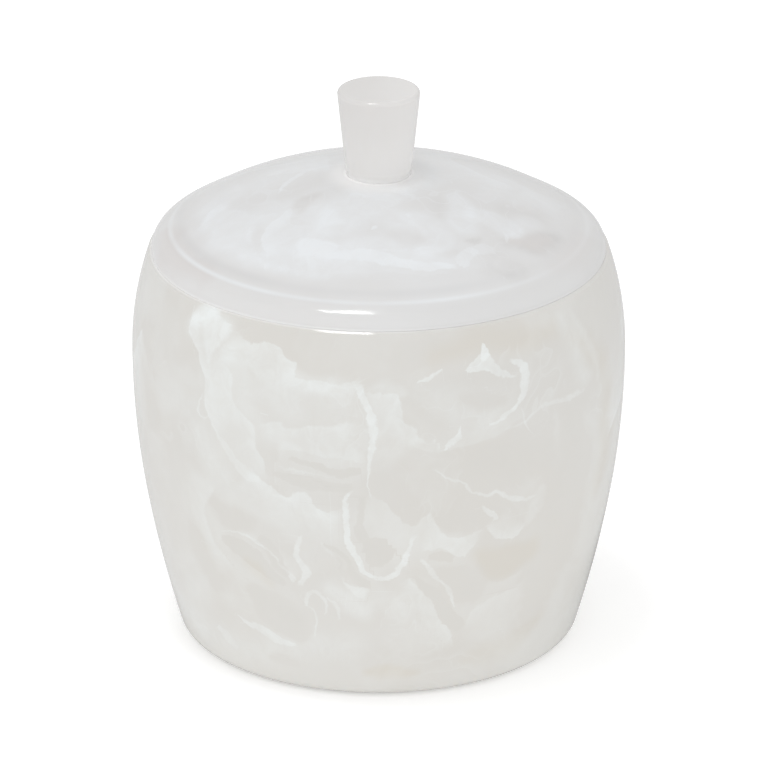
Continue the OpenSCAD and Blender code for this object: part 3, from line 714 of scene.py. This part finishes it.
class Nodes:
    """Short names for the shader nodes that a material, or the world, is made of."""

    def __init__(self, owner, place="Object"):
        self.tree = owner.node_tree
        self.shader = self.tree.nodes.get("Principled BSDF")
        self.spot = self.tree.nodes.new("ShaderNodeTexCoord").outputs[place]

    def put(self, socket, value):
        if isinstance(value, bpy.types.NodeSocket):
            self.tree.links.new(value, socket)
        elif value is not None:
            socket.default_value = value

    def math(self, kind, a, b=None, c=None):
        node = self.tree.nodes.new("ShaderNodeMath")
        node.operation = kind
        for socket, value in zip(node.inputs, (a, b, c)):
            self.put(socket, value)
        return node.outputs[0]

    def product(self, first, *others):
        for other in others:
            first = self.math("MULTIPLY", first, other)
        return first

    def vector(self, kind, a, b=None):
        node = self.tree.nodes.new("ShaderNodeVectorMath")
        node.operation = kind
        self.put(node.inputs[0], a)
        self.put(node.inputs["Scale"] if kind == "SCALE" else node.inputs[1], b)
        return node.outputs["Value" if kind in ("LENGTH", "DOT_PRODUCT") else "Vector"]

    def noise(self, scale, detail=3, rough=0.5, spot=None, twist=0.0, out="Fac"):
        node = self.tree.nodes.new("ShaderNodeTexNoise")
        self.put(node.inputs["Vector"], spot or self.spot)
        node.inputs["Scale"].default_value = scale
        node.inputs["Detail"].default_value = detail
        node.inputs["Roughness"].default_value = rough
        node.inputs["Distortion"].default_value = twist
        return node.outputs[out]

    def centred_noise(self, scale, detail, rough=0.5):
        return self.math("SUBTRACT", self.noise(scale, detail, rough), 0.5)

    def ramp(self, value, low, high, to_low=0.0, to_high=1.0, shape="SMOOTHSTEP"):
        node = self.tree.nodes.new("ShaderNodeMapRange")
        node.interpolation_type = shape
        for name, v in zip(RAMP_SOCKETS, (value, low, high, to_low, to_high)):
            self.put(node.inputs[name], v)
        return node.outputs[0]

    def peak(self, value, middle, width):
        """1 where the value is at the middle, falling to 0 over the width on both sides."""
        off = self.math("ABSOLUTE", self.math("SUBTRACT", value, middle))
        return self.ramp(off, 0.0, width, 1.0, 0.0)

    def mix(self, amount, a, b):
        node = self.tree.nodes.new("ShaderNodeMix")
        node.data_type = "RGBA"
        self.put(node.inputs[0], amount)
        self.put(node.inputs[6], a if isinstance(a, bpy.types.NodeSocket) else (*a, 1))
        self.put(node.inputs[7], b if isinstance(b, bpy.types.NodeSocket) else (*b, 1))
        return node.outputs[2]

    def split(self, vector):
        node = self.tree.nodes.new("ShaderNodeSeparateXYZ")
        self.put(node.inputs[0], vector)
        return node.outputs

    def attribute(self, name):
        node = self.tree.nodes.new("ShaderNodeAttribute")
        node.attribute_name = name
        return node.outputs["Vector"]


def new_material(name):
    material = bpy.data.materials.new(name)
    material.use_nodes = True
    return material, Nodes(material)


def veil_layer(n, k, ragged):
    """One layer of veils: crisp on the edge side, thinning out on the other."""
    inside, strength, edge = n.split(n.attribute(f"veil_{k}_line"))
    width, fade, _ = n.split(n.attribute(f"veil_{k}_form"))
    inside = n.math("ADD", inside, ragged)
    near = n.ramp(inside, 0.0, edge)
    far = n.ramp(n.math("SUBTRACT", n.math("MULTIPLY", width, 2.0), inside), 0.0, edge)
    depth = n.math("DIVIDE", n.math("MAXIMUM", inside, 0.0), n.math("MULTIPLY", fade, -1.0))
    return n.product(near, far, n.math("EXPONENT", depth), strength)


def background(n, amount):
    """Fainter clouds, folded wisps and hairlines that run all through the resin."""
    drift = n.vector("SUBTRACT", n.noise(45, out="Color"), (0.5, 0.5, 0.5))
    spot = n.vector("ADD", n.spot, n.vector("SCALE", drift, 22 * MM))
    cloud = n.ramp(n.noise(38, 5, 0.55, spot), 0.42, 0.72, 0.0, 0.55)
    fold = n.math("FRACT", n.math("MULTIPLY", n.noise(52, 2, 0.45, spot, 0.6), 9.0))
    fading = n.math("POWER", n.math("SUBTRACT", 1.0, fold), 3.0)
    wisp = n.product(n.ramp(fold, 0.0, 0.05), fading, n.ramp(n.noise(60, 2), 0.45, 0.7, 0.0, 0.55))
    line = n.peak(n.noise(80, 2, 0.5, spot, 0.3), 0.5, 0.014)
    hair = n.product(line, n.ramp(n.noise(55, 2), 0.48, 0.65, 0.0, 0.45))
    return n.product(n.math("MAXIMUM", n.math("MAXIMUM", cloud, wisp), hair), amount)


def screened(n, values):
    """1 minus the product of what each value lets through."""
    return n.math("SUBTRACT", 1.0, n.product(*(n.math("SUBTRACT", 1.0, v) for v in values)))


def polish(n, roughness):
    """Polished surface: a nearly even gloss, faint orange peel, no scratches deep enough to see."""
    gloss = n.ramp(n.noise(140, 4, 0.6), 0.3, 0.75, roughness, roughness + 0.05)
    n.put(n.shader.inputs["Roughness"], gloss)
    bump = n.tree.nodes.new("ShaderNodeBump")
    bump.inputs["Strength"].default_value = 0.25
    bump.inputs["Distance"].default_value = 0.02 * MM
    n.put(bump.inputs["Height"], n.noise(120, 3, 0.55))
    n.put(n.shader.inputs["Normal"], bump.outputs[0])


# A resin's tones: its clear ground, slow warm patches, deep windows, brown tints, and the pigment
Tones = namedtuple("Tones", "clear warm deep tinted pigment")
JAR_TONES = Tones((0.688, 0.678, 0.652), (0.678, 0.663, 0.631), (0.667, 0.657, 0.627),
                  (0.66, 0.63, 0.575), (0.805, 0.828, 0.82))
LID_TONES = Tones((0.73, 0.732, 0.735), (0.705, 0.70, 0.695), (0.60, 0.59, 0.585),
                  (0.68, 0.66, 0.65), (0.80, 0.82, 0.838))
KNOB_TONES = Tones((0.727, 0.712, 0.699), (0.714, 0.697, 0.68), None, None, (0.782, 0.777, 0.772))

# Light passes through the real resin, from piece to piece too, which it doesn't do here. The
# functions below make up for it with painted light, paler tones where two pieces meet and at the
# jar's foot, and with less scattering at the knob's foot, where it would draw a dark line.
CLOUDY = 0.35  # share of the light that comes off the resin from under its surface
# Painted light: tones that lighten the seam, the dome round the knob's seat, and the knob's foot.
SEAM_PAINTED_LIGHT = (0.96, 0.955, 0.95)
SEAT_PAINTED_LIGHT = (0.92, 0.915, 0.91)
FOOT_PAINTED_LIGHT = (1.0, 0.995, 0.99)
CLEAR_NEAR_SEAT = 2 * MM  # how far round the knob's foot there is less scattering

# Rings of painted shade and painted highlight round the lid's edge, by their distance from the
# axis:
# middle and half width
PAINTED_SHADE_RING = (43.2 * MM, 1.6 * MM)
PAINTED_HIGHLIGHT_RING = (45.4 * MM, 0.9 * MM)
EDGE_FROM, EDGE_TO = 45.5 * MM, 47 * MM  # where the dome gives way to the rounded edge


def from_axis(n):
    return n.vector("LENGTH", n.vector("MULTIPLY", n.spot, (1, 1, 0)))


def seam_light_side(n):
    """How strong the painted light along the seam is: full on the left, where the resin round it
    has more pigment, less on the right.
    """
    return n.ramp(n.split(n.spot)[0], -20 * MM, 30 * MM, 1.0, 0.35)


def lid_painted_light_and_finish(n, colour):
    """Painted highlight and painted shade stand for the polished valley: a pale ring with a darker
    one inside it, both clearest at the front left. The rounded edge has painted light on the left
    and painted shade on the right, the dome has painted light towards the back and round the knob's
    foot, and the edge has painted light just above the seam."""
    x, y, z = n.split(n.spot)
    reach = from_axis(n)
    front_left = n.math("SUBTRACT", n.math("MULTIPLY", x, -1.0), y)
    uneven = n.product(n.ramp(front_left, -20 * MM, 40 * MM, 0.25, 1.0),
                       n.ramp(n.noise(60, 2), 0.3, 0.6, 0.5, 1.0))
    edge = n.ramp(reach, EDGE_FROM, EDGE_TO)
    left = n.ramp(x, -12 * MM, 12 * MM, 0.15, 0.0)
    right = n.ramp(x, 0.0, 20 * MM, 0.0, 0.4)
    # Painted shade and painted highlight (in the pigment's colour) on the valley rings, painted
    # light and shade on the edge, and painted light towards the back, round the knob's foot and
    # above the seam.
    for amount, tone in (
        (n.product(n.peak(reach, *PAINTED_SHADE_RING), uneven, 0.18), (0.52, 0.52, 0.53)),
        (n.product(edge, left), (0.79, 0.785, 0.78)),
        (n.product(n.peak(reach, *PAINTED_HIGHLIGHT_RING), uneven, 0.75), LID_TONES.pigment),
        (n.product(edge, right), (0.68, 0.678, 0.672)),
        (n.ramp(y, -10 * MM, 20 * MM, 0.0, 0.38), (0.875, 0.868, 0.862)),
        (n.ramp(reach, KNOB_BASE_R, KNOB_BASE_R + 6 * MM, 0.7, 0.0), SEAT_PAINTED_LIGHT),
        (n.ramp(reach, KNOB_BASE_R, KNOB_BASE_R + 0.9 * MM, 0.8, 0.0), FOOT_PAINTED_LIGHT),
        (n.product(n.ramp(z, RIM_Z, RIM_Z + 0.8 * MM, 0.6, 0.0), seam_light_side(n)), SEAM_PAINTED_LIGHT),
    ):
        colour = n.mix(amount, colour, tone)
    scattering = n.ramp(reach, KNOB_BASE_R, KNOB_BASE_R + CLEAR_NEAR_SEAT, 0.0, CLOUDY)
    n.put(n.shader.inputs["Subsurface Weight"], scattering)
    return colour


def jar_painted_light(n, colour):
    """Painted light: paler towards the foot, standing in for light from below coming through, and
    along the rim.
    """
    z = n.split(n.spot)[2]
    # Painted light towards the foot.
    colour = n.mix(n.ramp(z, STAND_Z, STAND_Z + 12 * MM, 0.5, 0.0), colour, (0.76, 0.75, 0.72))
    # Painted light along the rim, by the seam.
    seam = n.product(n.ramp(z, RIM_Z - 0.4 * MM, RIM_Z, 0.0, 0.45), seam_light_side(n))
    return n.mix(seam, colour, SEAM_PAINTED_LIGHT)


def knob_painted_light_and_finish(n, colour):
    """Painted light: paler towards its foot, standing in for light that comes up through the lid,
    and to the right. The rounding at the top has a little painted shade and is shinier, which gives
    it its small highlight."""
    x, _, z = n.split(n.spot)
    # The top rounding: where painted shade darkens it and where it is shinier.
    rounding = n.product(n.peak(z, KNOB_TOP_Z - 0.35 * MM, 0.6 * MM),
                         n.ramp(z, KNOB_TOP_Z - 0.08 * MM, KNOB_TOP_Z, 1.0, 0.0))
    # Painted light towards the foot and to the right, and painted shade on the top rounding.
    for amount, tone in (
        (n.ramp(z, SEAT_Z, KNOB_TOP_Z, 0.42, 0.0), (0.95, 0.945, 0.94)),
        (n.ramp(x, -6 * MM, 10 * MM, 0.0, 0.25), (0.95, 0.94, 0.935)),
        (n.ramp(z, SEAT_Z, SEAT_Z + 2.5 * MM, 0.4, 0.0), (0.98, 0.975, 0.97)),
        (n.ramp(z, SEAT_Z, SEAT_Z + 1.2 * MM, 1.0, 0.0), FOOT_PAINTED_LIGHT),
        (n.product(rounding, 0.3), (0.6, 0.59, 0.58)),
    ):
        colour = n.mix(amount, colour, tone)
    n.put(n.shader.inputs["Specular IOR Level"], n.math("MULTIPLY_ADD", rounding, 0.5, 0.5))
    scattering = n.ramp(z, SEAT_Z, SEAT_Z + CLEAR_NEAR_SEAT, 0.0, CLOUDY)
    n.put(n.shader.inputs["Subsurface Weight"], scattering)
    return colour


def resin(name, tones, paint_light_and_finish, wisps=0.5, veiled=True, roughness=0.07, band=None):
    """Cast resin: its ground, under veils of pigment and fainter wisps. Pigment thins out through
    the radius band, where one is given."""
    material, n = new_material(name)
    amount = background(n, wisps)
    if veiled:
        coarse = n.product(n.centred_noise(170, 4, 0.6), 2.6)
        ragged = n.math("ADD", coarse, n.product(n.centred_noise(700, 3, 0.6), 1.2))
        streaks = n.ramp(n.noise(210, 5, 0.62, twist=1.2), 0.28, 0.72, 0.6, 1.2)
        layers = [n.product(veil_layer(n, k, ragged), streaks) for k in range(LAYERS)]
        clouds, brown, _ = n.split(n.attribute("clouds"))
        amount = screened(n, [amount, n.product(clouds, streaks)] + layers)
    more = n.math("MAXIMUM", amount, 0.0)
    if band is not None:
        reach = n.math("ADD", from_axis(n), n.product(n.centred_noise(90, 3), 5 * MM))
        more = n.product(more, n.ramp(reach, *band, 1.0, 0.0))
    ground = n.mix(n.ramp(n.noise(22), 0.35, 0.68), tones.clear, tones.warm)
    if veiled:
        less = n.product(n.math("MINIMUM", amount, 0.0), -1.0)
        ground = n.mix(less, ground, tones.deep)
        ground = n.mix(brown, ground, tones.tinted)
    n.shader.inputs["IOR"].default_value = 1.5
    n.shader.inputs["Subsurface Weight"].default_value = CLOUDY
    n.shader.inputs["Subsurface Radius"].default_value = (1.0, 0.97, 0.92)
    n.shader.inputs["Subsurface Scale"].default_value = 0.5 * MM
    # The piece's painted light and shade go over its pigment and ground here.
    n.put(n.shader.inputs["Base Color"], paint_light_and_finish(n, n.mix(more, ground, tones.pigment)))
    polish(n, roughness)
    return material


def clear_plastic(name, tone, roughness):
    """Clear acrylic or soft pad: pale, with a faint haze and a satin surface."""
    material, n = new_material(name)
    haze = n.ramp(n.noise(300), 0.3, 0.7)
    n.put(n.shader.inputs["Base Color"], n.mix(haze, tone, [0.94 * c for c in tone]))
    n.shader.inputs["IOR"].default_value = 1.49
    polish(n, roughness)
    return material


# -------------------- light and floor

TENT_LEVEL = 0.838
TENT_LEAN = (-0.015, -0.15, 0.02)  # how much brighter the tent gets to the right, back and top
LOW_BACK_DIM = -0.09
TABLE_TONE = 0.96
TABLE_GLOW = 0.24
MIRRORED_LEFT, MIRRORED_RIGHT = 0.76, 0.70  # the table's tones where the jar's gloss shows it
STRIPE_DIM = -0.3  # how much lower they are in the stripe


def make_world():
    """A big pale tent: brighter in front than behind, dimmer low down behind, and seen by the
    camera as white."""
    world = bpy.data.worlds.new("studio")
    bpy.context.scene.world = world
    world.use_nodes = True
    world.node_tree.nodes.clear()
    n = Nodes(world, "Generated")

    def backdrop(strength):
        node = n.tree.nodes.new("ShaderNodeBackground")
        node.inputs["Color"].default_value = (1, 1, 1, 1)
        n.put(node.inputs["Strength"], strength)
        return node.outputs[0]

    _, back, up = n.split(n.spot)
    low = n.math("POWER", n.math("SUBTRACT", 1.0, n.math("ABSOLUTE", up)), 4.0)
    dim = n.product(low, n.math("MAXIMUM", back, 0.0), LOW_BACK_DIM)
    lean = n.vector("DOT_PRODUCT", n.spot, TENT_LEAN)
    level = n.math("ADD", n.math("ADD", lean, TENT_LEVEL), dim)
    mix = n.tree.nodes.new("ShaderNodeMixShader")
    path = n.tree.nodes.new("ShaderNodeLightPath")
    n.put(mix.inputs["Fac"], path.outputs["Is Camera Ray"])
    n.put(mix.inputs[1], backdrop(level))
    n.put(mix.inputs[2], backdrop(1.0))
    out = n.tree.nodes.new("ShaderNodeOutputWorld")
    n.put(out.inputs["Surface"], mix.outputs[0])


def make_softbox():
    """The one lamp with a shape: a softbox almost overhead, a little to the left and forward."""
    light = bpy.data.lights.new("softbox", "AREA")
    light.shape = "RECTANGLE"
    height = 1.2
    light.size = 0.24 * height
    light.size_y = 0.22 * height
    light.energy = 2.2
    lamp = bpy.data.objects.new("softbox", light)
    lamp.location = (-0.150 * height, -0.075 * height, RIM_Z + height)
    lamp.rotation_euler = (math.radians(-4.3), math.radians(-8.5), 0)
    bpy.context.scene.collection.objects.link(lamp)


def make_floor():
    """A white light table that glows evenly, so the jar has only a thin soft shadow round its foot.
    In the jar's gloss it shows dimmer, most of all in a stripe behind the jar on the right, which
    draws a thin dark line down that side."""
    mesh = bpy.data.meshes.new("floor")
    half = 3.0
    corners = [(-half, -half, 0), (half, -half, 0), (half, half, 0), (-half, half, 0)]
    mesh.from_pydata(corners, [], [(0, 1, 2, 3)])
    floor = bpy.data.objects.new("floor", mesh)
    bpy.context.scene.collection.objects.link(floor)
    material, n = new_material("floor_white")
    n.shader.inputs["Roughness"].default_value = 0.9
    n.shader.inputs["Specular IOR Level"].default_value = 0.0
    n.shader.inputs["Emission Color"].default_value = (1, 1, 1, 1)
    mirrored = n.tree.nodes.new("ShaderNodeLightPath").outputs["Is Glossy Ray"]
    n.put(n.shader.inputs["Emission Strength"],
          n.ramp(mirrored, 0.0, 1.0, TABLE_GLOW, 0.0, "LINEAR"))
    x, y, _ = n.split(n.spot)
    # The stripe runs 38 to 68 mm right of the jar's axis and as far as 160 mm behind it.
    stripe = n.ramp(x, 0.038, 0.046, 0.0, 1.0, "LINEAR")
    stripe = n.ramp(x, 0.052, 0.068, stripe, 0.0, "LINEAR")
    stripe = n.ramp(y, 0.12, 0.16, stripe, 0.0, "LINEAR")
    stripe = n.ramp(y, 0.0, 0.03, 0.0, stripe, "LINEAR")
    across = n.ramp(x, -0.05, 0.06, MIRRORED_LEFT, MIRRORED_RIGHT, "LINEAR")
    tone = n.tree.nodes.new("ShaderNodeMix")
    n.put(tone.inputs[0], mirrored)
    n.put(tone.inputs[2], TABLE_TONE)
    n.put(tone.inputs[3], n.math("MULTIPLY_ADD", stripe, STRIPE_DIM, across))
    n.put(n.shader.inputs["Base Color"], tone.outputs[0])
    mesh.materials.append(material)


# -------------------- the object

make_camera()
make_world()
make_softbox()
make_floor()

jar = turned("jar_shell", jar_outline())
at = points_of(jar)
around = np.degrees(np.arctan2(at[:, 0], -at[:, 1]))
add_veils(jar, JAR_VEILS, JAR_CLOUDS, JAR_TINTS, np.stack([around, at[:, 2] / MM], 1),
          (math.radians(MEAN_R), 1), True)
jar.data.materials.append(resin("jar_resin_look", JAR_TONES, jar_painted_light))
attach(jar, "jar")
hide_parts("jar_body")

lid = turned("lid_shell", lid_outline())
add_veils(lid, LID_VEILS, LID_CLOUDS, LID_TINTS, points_of(lid)[:, :2] / MM, (1, 1), False)
lid.data.materials.append(
    resin("lid_resin_look", LID_TONES, lid_painted_light_and_finish, wisps=0.6, band=(38 * MM, 43 * MM))
)
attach(lid, "lid")
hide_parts("lid")

knob = turned("knob_grip", knob_outline(), KNOB_STEPS)
knob.data.materials.append(
    resin("knob_resin_look", KNOB_TONES, knob_painted_light_and_finish, veiled=False, roughness=0.03)
)
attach(knob, "lid")
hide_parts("knob")

for node, look in (
    ("knob_dowel", clear_plastic("dowel_acrylic_look", (0.86, 0.87, 0.88), 0.15)),
    ("base_pads", clear_plastic("pad_clear_look", (0.84, 0.85, 0.84), 0.4)),
):
    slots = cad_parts[node].material_slots
    if slots:
        slots[0].material = look
    else:
        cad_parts[node].data.materials.append(look)

bpy.context.scene.view_settings.view_transform = "Standard"
